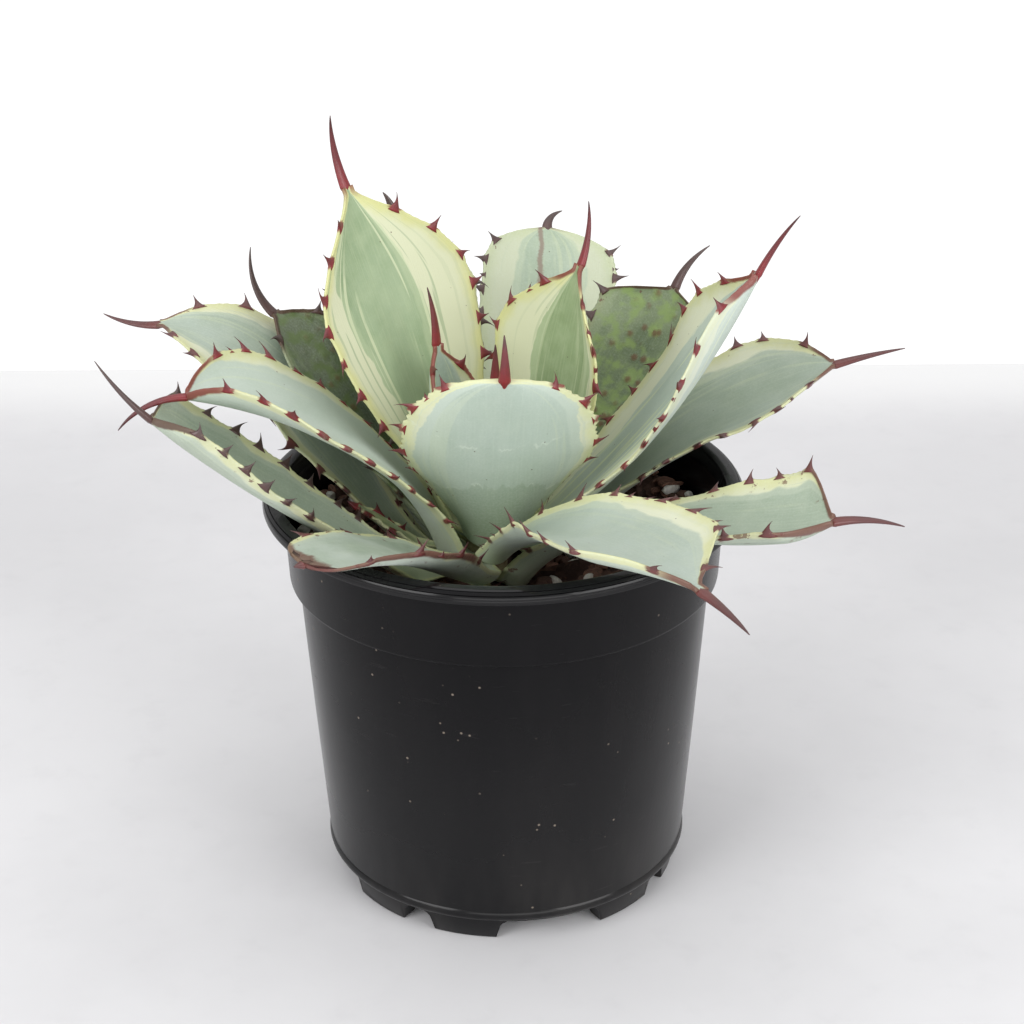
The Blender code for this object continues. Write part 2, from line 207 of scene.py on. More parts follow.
leaves = [
    dict(name="leaf_inner_bud", heading=300, rise=(84, 86, 88), length=52, width=18,
        cup=(150, 140, 120), root=(2.5, 0, 130), spine=(14, 0, 0), teeth=3),
    dict(name="leaf_bud", heading=167, swing=-4, rise=(78, 78, 90), length=64, width=29, belly=0.63,
        roll=(-2, -22), cup=(140, 125, 80), root=(5, 0, 129), spine=(21, -10, 10), teeth=4),
    dict(name="leaf_front_cupped", heading=277, rise=(64, 66, 67), length=80, width=66, neck=0.38,
        belly=0.56, point=2.5, blunt=0.7, roll=(-2, -5), cup=(123, 52, 68), root=(10.3, 8.5, 125),
        spine=(16, 36, -4), teeth=7),
    dict(name="leaf_tall_striped", heading=145, swing=3, rise=(71, 68, 65), length=121, width=70,
        neck=0.4, belly=0.64, point=1.9, blunt=1.3, roll=(3, -16), cup=(110, 35, 92),
        root=(10.5, 4, 127), spine=(26, 39, 6), teeth=9),
    dict(name="leaf_behind_right", heading=40, rise=(73, 78, 63), length=91, width=63, neck=0.21,
        belly=0.68, point=1.9, blunt=1.41, roll=(1, -13), cup=(77, 25, 92), root=(14, -30, 127.8),
        spine=(22, 12, 27), teeth=7),
    dict(name="leaf_right_upright", heading=-1, rise=(45, 51, 65), length=123, width=67, neck=0.45,
        belly=0.67, roll=(-2, -4), cup=(115, 30, 155), root=(15.5, -1.3, 122), spine=(27, -9, -27),
        teeth=9),
    dict(name="leaf_hidden_back_left", heading=118, swing=-4, rise=(57, 57, 85), length=112,
        width=52, belly=0.75, roll=(0, -20), cup=(113, 48, 35), root=(14.8, 7, 121.3),
        spine=(10, 6, 36), teeth=7),
    dict(name="leaf_big_left", heading=195, rise=(72, 36.5, 8), length=116, width=65, neck=0.33,
        belly=0.62, point=2.4, blunt=0.75, cup=(98, 22, 155), root=(15, 14, 121.2),
        spine=(29, -34, 54), teeth=10, roll=(1, 1)),
    dict(name="leaf_back_broad", heading=68, swing=27, rise=(35, 40, 29), length=121, width=51,
        neck=0.36, belly=0.77, point=3, blunt=0.75, roll=(-3, 10), cup=(79, 79, 31),
        root=(20, 16, 123), spine=(14, -10, -60), teeth=8),
    dict(name="leaf_back_right_dark", heading=38, swing=3, rise=(48, 45, 64), length=92, width=52,
        neck=0.38, belly=0.86, point=2.3, blunt=1.2, roll=(19, 1), cup=(78, 52, 70),
        root=(23.4, -6, 126.2), spine=(20, -28, -27), teeth=6),
    dict(name="leaf_back_left_dark", heading=149, swing=14, rise=(42, 51, 36), length=97, width=42,
        point=2.9, blunt=0.93, roll=(1, -14), cup=(88, 58, 52), root=(20, -9, 119),
        spine=(25, 50, -42), teeth=6),
    dict(name="leaf_front_right", heading=-59, swing=-3, rise=(44, 16, 1), length=132, width=53,
        neck=0.3, belly=0.76, point=1.4, blunt=1.46, roll=(14, -5), cup=(119, 55, 49),
        root=(24, -23, 127), spine=(30, 0, -11), teeth=7),
    dict(name="leaf_right_long", heading=14, swing=-20, rise=(54, 31, 20), length=117, width=54,
        belly=0.7, point=2.4, blunt=0.95, roll=(-3, 10), cup=(130, 50, 66), root=(30, 14, 113),
        spine=(25, -12, 7), teeth=9, neck=0.4),
    dict(name="leaf_left_upper", heading=160, swing=4, rise=(31, 50, -11), length=128, width=44,
        neck=0.23, belly=0.68, point=2.4, blunt=1.09, roll=(-4, -10), cup=(52, 30, 26),
        root=(22.4, 9.2, 115), spine=(22, 24, -15), teeth=9),
    dict(name="leaf_front_left_short", heading=239, swing=-24, rise=(28, 28, 1), length=92,
        width=39, neck=0.53, belly=0.59, point=6, blunt=0.42, roll=(-6, 4), cup=(92, 30, 4),
        root=(25, 22, 120), spine=(3, 0, 0), teeth=4),
    dict(name="leaf_left_low", heading=198, swing=3, rise=(39, 37.5, 45), length=113, width=40,
        neck=0.3, belly=0.9, point=2.5, blunt=1.14, roll=(-22, 0), cup=(28, 75, 98),
        root=(28.2, 14.5, 115.2), spine=(26, 15, -26), teeth=9),
    dict(name="leaf_right_low", heading=-34, swing=10, rise=(58, 15, 22), length=130, width=44,
        neck=0.33, belly=0.9, point=2.1, blunt=1.25, roll=(-14, 14), cup=(93, 50, 113),
        root=(17, -20, 112), spine=(23, -31, -3), teeth=8),
    dict(name="leaf_hidden_back", heading=86, swing=-4, rise=(37, 41, 48), length=94, width=19,
        belly=0.49, roll=(3, 1), cup=(74, 41, 43), root=(21.3, 3.5, 115), spine=(16, 0, 0),
        teeth=7),
    dict(name="leaf_hidden_back_right", heading=56, swing=1, rise=(46, 33, 20), length=105,
        width=31, neck=0.4, belly=0.64, roll=(-14, -4), cup=(52, 60, 25), root=(23.5, 2, 114.2),
        spine=(16, -6, -6), teeth=7),
    dict(name="leaf_hidden_far_left", heading=123, swing=1, rise=(28, 47, 20), length=78, width=39,
        roll=(-5, 4), cup=(85, 41, 32), root=(22, 12, 113), spine=(16, 0, 0), teeth=7),
    dict(name="leaf_front_low", heading=265, rise=(9, 10, 8), length=40, width=15, thick=3,
        neck=0.36, point=3, cup=(60, 30, 20), root=(15.3, -2, 111.6), spine=(8, 0, 0), teeth=4),
    dict(name="leaf_small_left", heading=180, rise=(36, 36, 34), length=24, width=7, thick=2.4,
        neck=0.7, cup=(60, 40, 30), root=(25, 5, 121), spine=(4, 0, 0), teeth=2),
]

crownX = -6.0
crownY = 7.0
baseThick = 4.2
tipThick = 1.8
edgeThick = 0.9
leastHalf = 1.9
toothBase = 3.4
toothHeight = 3.6


def along(values, t):
    first, middle, last = values
    return first * (1 - t) * (1 - 2 * t) + middle * 4 * t * (1 - t) + last * t * (2 * t - 1)


def halfWidth(leaf, t):
    belly = leaf.get("belly", 0.6)
    neck = leaf.get("neck", 0.42)
    if t < belly:
        share = neck + (1 - neck) * math.sin(math.pi / 2 * max(t, 0) / belly) ** 1.6
    else:
        run = min(1.0, (t - belly) / (1 - belly))
        share = max(0.0, 1 - run ** leaf.get("point", 2.2)) ** leaf.get("blunt", 1.25)
    return max(leaf["width"] / 2 * share, leastHalf)


def leafAxis(leaf, count=60, spineCount=12):
    heading = leaf["heading"]
    radius, turn, height = leaf["root"]
    angle = math.radians(heading + turn)
    start = Vector((crownX + radius * math.cos(angle), crownY + radius * math.sin(angle), height))
    point = start + potAxis
    axis = []
    step = leaf["length"] / count
    for index in range(count + 1):
        t = index / count
        rise = math.radians(along(leaf["rise"], t))
        turned = math.radians(heading + leaf.get("swing", 0) * t * t)
        forward = Vector((math.cos(rise) * math.cos(turned), math.cos(rise) * math.sin(turned),
                          math.sin(rise)))
        if index:
            point = point + (forward + axis[-1][1]) * step / 2
        side = Vector((-math.sin(turned), math.cos(turned), 0))
        first, last = leaf.get("roll", (0, 0))
        roll = math.radians(first + (last - first) * t)
        up = forward.cross(side)
        rolled = side * math.cos(roll) + up * math.sin(roll)
        axis.append((point.copy(), forward, rolled, forward.cross(rolled)))
    length, bend, lean = leaf["spine"]
    forward, side, up = axis[-1][1:]
    spine = []
    for index in range(spineCount + 1):
        share = index / spineCount
        bent = up * math.tan(math.radians(bend * share))
        leant = side * math.tan(math.radians(lean * share))
        turned = forward + bent + leant
        turned.normalize()
        if index:
            point = point + turned * length / spineCount
        across = (side - turned * side.dot(turned)).normalized()
        spine.append((point.copy(), turned, across, turned.cross(across)))
    return axis, spine


def pick(axis, t):
    place = min(max(t, 0.0), 1.0) * (len(axis) - 1)
    index = min(int(place), len(axis) - 2)
    share = place - index
    return [first.lerp(second, share) for first, second in zip(axis[index], axis[index + 1])]


def bladePoint(leaf, axis, t, s, under, reach=0.0, lift=0.0):
    # t runs along the leaf, s from edge to edge, and under from the inner face to the outer
    point, forward, side, up = pick(axis, t)
    base = leaf.get("thick", baseThick)
    thick = base + (tipThick - base) * t
    bend = math.radians(along(leaf["cup"], t))
    if abs(bend) < 0.02:
        bend = 0.02
    radius = halfWidth(leaf, t) / (bend / 2)
    angle = s * bend / 2
    depth = under * (edgeThick + (thick - edgeThick) * (1 - s * s))
    out = side * math.sin(angle) - up * math.cos(angle)
    rim = side * math.cos(angle) + up * math.sin(angle)
    place = point + side * (radius * math.sin(angle)) + up * (radius * (1 - math.cos(angle)))
    return place + out * (depth - lift) + rim * reach * (1 if s > 0 else -1)


def toothPlan(leaf, rng):
    # place along the leaf, side, lean and height, drawn in the same order as the solids
    pitch = 0.86 / leaf["teeth"]
    skew = 0.2 / leaf["teeth"]
    half = toothBase / leaf["length"] / 2
    middles = [0.1 + pitch * (index + 0.5 + rng.uniform(-0.12, 0.12))
               for index in range(leaf["teeth"])]
    teeth = []
    for middle in middles:
        for side in (-1, 1):
            lean = rng.uniform(-0.2, 0.9)
            reach = toothHeight * rng.uniform(0.7, 1.25)
            shift = skew * side * math.sin(math.pi * min(1, middle))
            teeth.append((middle + shift, side, (lean - 0.5) * half * 2, reach))
    return teeth


# the fine tooth: a broad foot sunk in the margin, then a thin hooked shaft
toothForm = dict(sides=10, rows=10, tall=1.3, sunk=1.1, foot=2.3, shaft=0.75, thick=0.85, tip=0.07,
                 hook=(-2.2, 3.0), tilt=0.5)


def toothAt(bm, layers, leaf, axis, tooth, rng, rise):
    t, side, shift, reach = tooth
    form = toothForm
    lift = rise(t, side)
    near = 0.004
    edge = bladePoint(leaf, axis, t, side, 0.5, 0, lift)
    after = bladePoint(leaf, axis, t + near, side, 0.5, 0, rise(t + near, side))
    before = bladePoint(leaf, axis, t - near, side, 0.5, 0, rise(t - near, side))
    ahead = (after - before).normalized()
    turned = bladePoint(leaf, axis, t, side, 0.5, 1.0, lift + 0.35 * lift) - edge
    out = turned.normalized()
    out = (out - ahead * out.dot(ahead)).normalized()
    normal = ahead.cross(out)
    hook = shift * leaf["length"] + rng.uniform(*form["hook"])
    tilt = rng.uniform(-form["tilt"], form["tilt"])
    size = min(1.0, 0.6 + t) * rng.uniform(0.9, 1.15) * min(1.0, 0.35 + reach / 3)
    blade, marks = layers

    def place(vert, u, v):
        angle = 2 * math.pi * u
        height = reach * v * form["tall"]
        half = (form["foot"] * (1 - v) ** 3 + form["shaft"] * (1 - v) + form["tip"]) * size
        thick = (form["thick"] * (1 - v) ** 1.4 + form["tip"]) * size
        centre = edge + out * (height - form["sunk"] * (1 - v))
        centre = centre + ahead * hook * v ** 2.4 + normal * tilt * v * v * reach * 0.5
        vert.co = (centre + ahead * half * math.cos(angle) + normal * thick * math.sin(angle)) * mm
        vert[blade] = (angle, height, side)
        vert[marks] = (1, v, 0)

    tube(bm, form["sides"], form["rows"], place, 1)


# the fine spine: its collar covers the blade's end, and its upper side is flattened
spineForm = dict(sides=16, rows=34, collar=0.3, wide=1.95, deep=1.3, tipWide=0.16, tipDeep=0.14,
                 collarWide=1.9, collarDeep=1.25, collarTaper=0.55, sunk=0.8, flat=0.55)


def spineOf(bm, layers, leaf, axis, spine):
    blade, marks = layers
    form = spineForm
    collar = form["collar"]
    length = leaf["spine"][0]
    start = 0.94 if length > 6 else 0.985

    def place(vert, u, v):
        angle = 2 * math.pi * u
        run = v * (1 + collar) - collar
        if run < 0:
            t = 1 + run / collar * (1 - start)
            point, forward, side, up = pick(axis, t)
            grow = 1 + run / collar * form["collarTaper"]
            wide = form["collarWide"] * grow
            deep = form["collarDeep"] * grow
            point = point - up * 0.35 * (-run / collar)
        else:
            point, forward, side, up = pick(spine, run)
            wide = form["wide"] * (1 - run) ** 0.85 + form["tipWide"]
            deep = form["deep"] * (1 - run) ** 0.8 + form["tipDeep"]
        sag = form["flat"] * max(0.0, math.sin(angle)) * wide * 0.5
        centre = point - up * form["sunk"]
        high = deep * math.sin(angle) - sag * 0.6
        vert.co = (centre + side * wide * math.cos(angle) + up * high) * mm
        vert[blade] = (angle, run * length, 0)
        vert[marks] = (1, max(0.0, run), 0)

    tube(bm, form["sides"], form["rows"], place, 1)


# the fine blade: sunk is the share of its rows that runs from the root into the crown
bladeForm = dict(sides=52, rows=118, sunk=0.08, footIn=15, footDrop=6, footSize=0.35, ripple=6.283,
                 rimRound=0.28, smallTooth=1.1)


def leafPiece(leaf, seed, materials):
    name = leaf["name"]
    look = looks[name]
    form = bladeForm
    teeth = toothPlan(leaf, random.Random(seed))
    rng = random.Random(seed + 500)
    axis, spine = leafAxis(leaf)
    root = axis[0][0]
    length = leaf["length"]
    waves, depth = look["wave"]
    phase = rng.uniform(0, 6.28)
    bm = bmesh.new()
    # blade holds mm across, mm along and the share across; marks holds the face, the distance to
    # the nearest tooth and the distance to the edge
    layers = (bm.verts.layers.float_vector.new("blade"), bm.verts.layers.float_vector.new("marks"))
    blade, marks = layers
    inward = Vector((crownX, crownY, root.z - form["footDrop"])) + potAxis - root
    foot = root + inward * min(1.0, form["footIn"] / inward.length)

    def rise(t, s):
        way = 1 if s > 0 else -1
        slow = math.sin(form["ripple"] * waves * t + phase * way)
        quick = math.sin(form["ripple"] * 2.3 * waves * t + phase)
        curl = look["curl"][0 if s < 0 else 1]
        folded = curl * min(1, max(0, t - 0.12) * 4) * min(1, (1 - t) * 7)
        waved = depth * (slow + 0.4 * quick) * s ** 4 * math.sin(math.pi * min(1, t))
        return waved + folded * s ** 4

    def place(vert, u, v):
        angle = 2 * math.pi * u
        s = -math.cos(angle)
        v = v * (1 + form["sunk"]) - form["sunk"]
        t = max(0.0, v)
        if look["torn"]:
            ragged = 0.35 + 0.4 * math.sin(s * 9 + 1) + 0.3 * math.sin(s * 23)
            t = min(t, 1 - look["torn"] * ragged * t ** 12)
        sideways = 1 if s > 0 else -1
        under = 0.0 if math.sin(angle) > 0 else 1.0
        if abs(abs(s) - 1) < 1e-4:
            under = 0.5
        half = halfWidth(leaf, t)
        nearest = 9.0
        swell = 0.0
        for middle, at, shift, height in teeth:
            if at == sideways:
                away = abs(t - middle) * length
                nearest = min(nearest, math.hypot(away * 0.8, (1 - abs(s)) * half))
                swell = max(swell, math.exp(-(away / 2.6) ** 2))
        reach = 0
        if half > 3:
            notch = look["notch"] * math.sin(t * length * 2.6 + 1.5 * math.sin(t * 31) + sideways)
            reach = s ** 6 * (look["scallop"] * swell - 0.3 + notch) * min(1, (1 - t) * 14)
        if under == 0.5:
            reach += form["rimRound"]
        spot = bladePoint(leaf, axis, t, s, under, reach, rise(t, s))
        if v < 0:
            spot = spot.lerp(foot + (spot - root) * form["footSize"], -v / form["sunk"])
        vert.co = spot * mm
        slope = (halfWidth(leaf, min(1, t + 0.01)) - halfWidth(leaf, t - 0.01)) / (0.02 * length)
        edge = (1 - abs(s)) * half / math.sqrt(1 + slope * slope)
        edge = min(edge, (1.0 - t) * length * 0.8 + 1.2)
        vert[blade] = (s * half, t * length, s)
        vert[marks] = (under, nearest, edge)

    tube(bm, form["sides"], form["rows"], place)
    for tooth in teeth:
        toothAt(bm, layers, leaf, axis, tooth, rng, rise)
    for _ in range(look["small"]):
        t = rng.uniform(0.06, 0.9)
        side = rng.choice((-1, 1))
        if min(abs(t - tooth[0]) for tooth in teeth if tooth[1] == side) * length > 4:
            toothAt(bm, layers, leaf, axis, (t, side, 0, form["smallTooth"]), rng, rise)
    spineOf(bm, layers, leaf, axis, spine)
    piece = makePiece(name + "_fine", bm, materials)
    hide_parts(name)


def hornPaint(name, root, middle, tip):
    paint = Paint(name, Coat_Weight=0.25, Coat_Roughness=0.25)
    angle, height, side = paint.split(paint.attribute("blade"))
    share = paint.split(paint.attribute("marks"))[1]
    cloud = paint.noise(paint.place(), 420, 3)
    grain = paint.noise(paint.join(angle * 2.2, height * 0.25, side), 2.0, 4)
    colour = paint.mix((share * 1.6 + (cloud - 0.5) * 0.5).ramp(0.0, 0.75), root, middle)
    colour = paint.mix((share + (cloud - 0.5) * 0.3).ramp(0.55, 1.0), colour, tip)
    colour = paint.mix((grain - 0.5).ramp(0.0, 0.22) * 0.35, colour, tip)
    paint.bump(grain + cloud * 0.4, 0.35, 0.0003)
    return paint.finish(colour, 0.3 + cloud * 0.22)


# tones that every leaf shares
skinTones = dict(bloom=(0.66, 0.73, 0.68), veil=(0.55, 0.63, 0.58), veilLine=(0.70, 0.76, 0.68),
                 wart=(0.17, 0.09, 0.045), speck=(0.09, 0.05, 0.03), streak=(0.25, 0.19, 0.15))


def bladePaint(name, look, seed):
    paint = Paint(name, Specular_IOR_Level=0.42)
    x, y, s = paint.split(paint.attribute("blade"))
    under, tooth, edge = paint.split(paint.attribute("marks"))
    upLeaf = y * (1 / look["length"])
    far = seed * 13.7
    flat = paint.join(x + far, y, seed * 1.0)
    broad = paint.noise(flat, 0.045, 3)
    cloud = paint.noise(flat, 0.16, 4)
    fine = paint.noise(flat, 1.3, 4, 0.6)
    fibre = paint.noise(paint.join(x * 1.5 + far, y * 0.045, seed * 1.0), 1.0, 4, 0.55)
    wobble = paint.noise(paint.join(far, y * 0.06, s * 0.4), 1.0, 2)
    colour = paint.mix(broad.ramp(0.3, 0.72), look["green"], look["deep"])
    colour = paint.mix(fibre.ramp(0.42, 0.75) * 0.28, colour, look["pale"])
    colour = paint.mix(cloud.ramp(0.35, 0.8) * look["cloud"], colour, look["pale"])
    # cream from a share of the half width on, with a paler band and long bars before it
    left, right = look["margin"]
    share = (s * 1.4 + 0.5).ramp(0.0, 1.0)
    start = left + (right - left) * share + (wobble - 0.5) * look["wobble"] + (fibre - 0.5) * 0.05
    if "lean" in look:
        start = start + (upLeaf - 0.6) * share * look["lean"]
    side = s.size() - under * 0.09
    band = (side - start + look["band"] * (0.4 + wobble * 1.2)).ramp(-0.02, 0.02)
    colour = paint.mix(band * look["bandShare"], colour, look["pale"])
    bars = paint.noise(paint.join(s * 11.0 + far, y * 0.011, seed * 2.0), 1.0, 1)
    bars = bars.ramp(look["barFrom"], look["barFrom"] + 0.035)
    bars = bars * (side - start + look["barReach"]).ramp(0.0, 0.12)
    colour = paint.mix(bars * look["bars"], colour, look["stripe"])
    rimLine = 1.0 - (edge - look["line"] * (0.5 + cloud)).ramp(-0.25, 0.25)
    cream = (side - start).ramp(-look["soft"], look["soft"]).most(rimLine)
    fade = (edge + (cloud - 0.5) * 6.0).ramp(0.5, 6.0)
    creamTone = paint.mix(fade, look["cream"], look["creamPale"])
    greenBars = paint.noise(paint.join(s * 17.0 + far, y * 0.018, seed * 3.0), 1.0, 1)
    greenBars = greenBars.ramp(0.58, 0.62) * (1.0 - (side - start).ramp(0.12, 0.4) * 0.8)
    barTone = look.get("barTone", look["pale"])
    creamTone = paint.mix(greenBars * look["creamBars"], creamTone, barTone)
    colour = paint.mix(cream, colour, creamTone)
    # the foot of the leaf has its own tone, which on the front cupped leaf is mostly painted shade,
    # and the skin wears a thin waxy bloom
    foot = 1.0 - upLeaf.ramp(0.04, look["footEnd"])
    colour = paint.mix(foot * look["footShare"], colour, look["foot"])
    bloom = fine.ramp(0.35, 0.9) * look["wax"] + 0.03 + under * look["bloom"]
    colour = paint.mix(bloom, colour, skinTones["bloom"])
    # a pale veil with a jagged lower edge, printed by the neighbours inside the bud
    for first, sag, count, strength in look["prints"]:
        saw = (paint.noise(paint.join(s * count, y * 0.05, far), 1.0, 5, 0.7) - 0.5) * 13.0
        curve = y - first + s * s * sag + saw
        veil = curve.ramp(-0.2, 0.7) * strength * (1.0 - cream)
        colour = paint.mix(veil, colour, skinTones["veil"])
        mark = (1.0 - curve.size().ramp(0.15, 0.8)) * cloud.ramp(0.45, 0.6)
        colour = paint.mix(mark * 0.35, colour, skinTones["veilLine"])
    height = fibre * 0.5 + fine * 0.25
    if look["warts"]:
        lumps = paint.cells(paint.join(x + far + fine * 2.0, y + fine * 1.2, seed * 1.0), 0.2)
        colour = paint.mix(cloud.ramp(0.42, 0.62) * 0.8, colour, look["fresh"])
        wart = (1.0 - lumps.ramp(0.1, 0.4)) * look["warts"] * broad.ramp(0.4, 0.5)
        colour = paint.mix(wart, colour, skinTones["wart"])
        height = height - lumps.ramp(0.0, 0.6) * 2.2
    # dry brown scars near the edge, small dark specks and a burnt end
    scarFrom = 0.76 - look["damage"] * 0.3
    scar = paint.noise(paint.join(x + far, y * 0.7, 5.0 + seed), 0.3, 5, 0.62)
    scar = scar.ramp(scarFrom, scarFrom + 0.03) * (1.0 - edge.ramp(2.0, 6.5))
    colour = paint.mix(scar * 0.8, colour, look["dry"])
    speck = paint.cells(flat, 0.2)
    speck = (1.0 - speck.ramp(0.035, 0.07)) * paint.noise(flat, 0.35, 2).ramp(0.5, 0.56)
    colour = paint.mix(speck * 0.75, colour, skinTones["speck"])
    if "end" in look:
        burntFrom, burntShare = look["end"]
        burnt = (upLeaf + (cloud - 0.5) * 0.14).ramp(burntFrom, burntFrom + 0.035)
        colour = paint.mix(burnt * burntShare, colour, look["dry"])
    # a horny rim near the tip, a dry streak and the red-brown foot of each tooth
    line = look["rimWidth"]
    ridge = 1.0 - (edge + (cloud - 0.5) * 1.4).ramp(line * 0.5, line)
    ridge = ridge * (upLeaf - look["rim"]).ramp(0, 0.06)
    if "rimSide" in look:
        ridge = ridge * (s * look["rimSide"]).ramp(-0.2, 0.2)
    if "streak" in look:
        thread = (x - 3.0 + (wobble - 0.5) * 5.0).size()
        thread = thread + (1.0 - upLeaf.ramp(look["streak"], look["streak"] + 0.06)) * 9.0
        streak = (1.0 - (thread + fine * 1.2).ramp(1.0, 2.0)) * 0.85
        colour = paint.mix(streak, colour, skinTones["streak"])
    base = 1.0 - (tooth + (cloud - 0.5) * 1.5).ramp(0.8, 1.7)
    horn = ridge.most(base)
    colour = paint.mix(horn * 0.92, colour, look["horn"])
    paint.bump(height + horn * 0.6, 0.4, 0.0004)
    return paint.finish(colour, 0.46 + fine * 0.16 - horn * 0.14)


# horn tones: root, middle and tip
redHorn = hornPaint("red_horn", (0.22, 0.018, 0.022), (0.14, 0.018, 0.022), (0.06, 0.014, 0.016))
maroonHorn = hornPaint("maroon_horn", (0.14, 0.034, 0.030), (0.10, 0.030, 0.029),
                       (0.08, 0.028, 0.029))
greyHorn = hornPaint("grey_horn", (0.08, 0.034, 0.030), (0.07, 0.040, 0.036), (0.09, 0.060, 0.056))

# what a look may change: margin, wobble, band, barReach and soft are shares of the half width,
# footEnd, rim, end and streak are places along the leaf, line, rimWidth, curl, notch and scallop
# are mm, wave is a count and mm, small is a count, and a higher barFrom leaves fewer bars
plain = dict(cloud=0.3, wobble=0.3, band=0.13, bandShare=0.5, barFrom=0.55, barReach=0.4,
             line=1.0, soft=0.012, creamBars=0.35, footEnd=0.24, footShare=0.4, wax=0.2,
             bloom=0.12, prints=(), warts=0.0, rim=0.9, rimWidth=1.1, small=8, torn=0.0,
             wave=(2.5, 0.5), curl=(0, 0), notch=0.12, scallop=0.85, dark=False)
inner = dict(plain, green=(0.35, 0.43, 0.29), deep=(0.26, 0.34, 0.20), pale=(0.45, 0.52, 0.35),
             stripe=(0.54, 0.60, 0.38), cream=(0.58, 0.59, 0.31), creamPale=(0.61, 0.63, 0.43),
             foot=(0.50, 0.56, 0.30), dry=(0.17, 0.085, 0.05), horn=(0.20, 0.03, 0.03),
             paint=redHorn, bars=0.5, damage=0.05)
middle = dict(inner, green=(0.38, 0.46, 0.40), deep=(0.31, 0.39, 0.32), pale=(0.47, 0.54, 0.45),
              creamPale=(0.63, 0.65, 0.48), damage=0.1)
outer = dict(middle, green=(0.35, 0.42, 0.35), deep=(0.28, 0.35, 0.26), pale=(0.45, 0.51, 0.40),
             dry=(0.15, 0.07, 0.05), horn=(0.13, 0.04, 0.035), paint=maroonHorn, damage=0.3,
             rim=0.88, wobble=0.45, soft=0.03)
# dark: the outer tones, cream and foot included, darkened as painted shade for the leaves that sit
# in shadow at the back of the rosette
dark = dict(outer, green=(0.22, 0.28, 0.15), deep=(0.11, 0.16, 0.07), pale=(0.27, 0.33, 0.18),
            dark=True, soft=0.05, stripe=(0.3, 0.35, 0.2), cream=(0.28, 0.32, 0.17),
            creamPale=(0.31, 0.35, 0.2), foot=(0.2, 0.25, 0.13), paint=greyHorn,
            horn=(0.09, 0.042, 0.03), bars=0.2)
fresh = dict(inner, wax=0.06, green=(0.31, 0.40, 0.24), deep=(0.22, 0.31, 0.16),
             cream=(0.60, 0.60, 0.27), pale=(0.43, 0.51, 0.31), barTone=(0.25, 0.34, 0.18))

